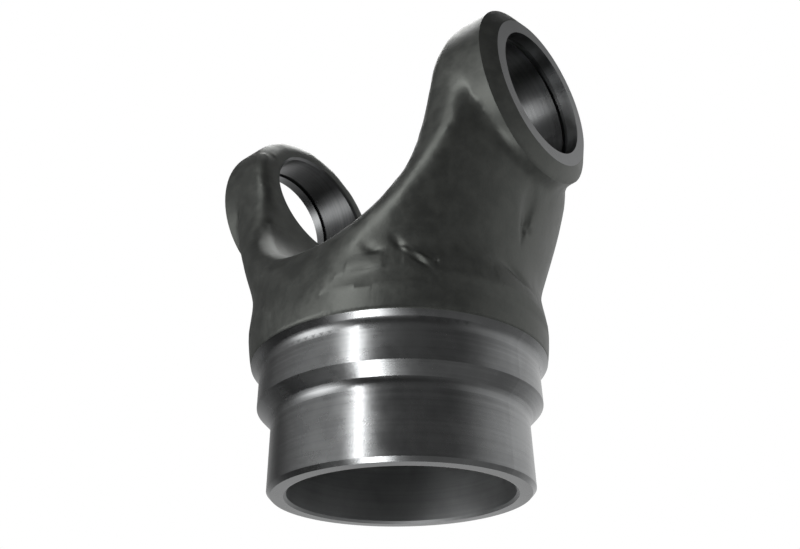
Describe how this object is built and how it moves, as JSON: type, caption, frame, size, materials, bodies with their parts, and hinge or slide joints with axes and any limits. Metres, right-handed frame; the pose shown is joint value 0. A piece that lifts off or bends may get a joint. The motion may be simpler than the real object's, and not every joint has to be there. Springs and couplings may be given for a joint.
{
  "type": "forged yoke",
  "caption": "Forged weld yoke of a drive shaft: a hollow turned tube end that opens into arms, with a round ear and a bearing bore at the end of each.",
  "frame": {"origin": "centre of the flat ring face at the tube end, on which the yoke stands", "axes": "+Z along the tube axis, from the ring face towards the ears; X along the common axis of the bearing bores"},
  "size_m": [0.165, 0.1222, 0.1973],
  "materials": {
    "forged_steel": "dark matt forging skin, with turned and bored faces in bright semi-gloss steel"
  },
  "bodies": {
    "root": {"forged_yoke": "forged_steel"}
  },
  "joints": []
}
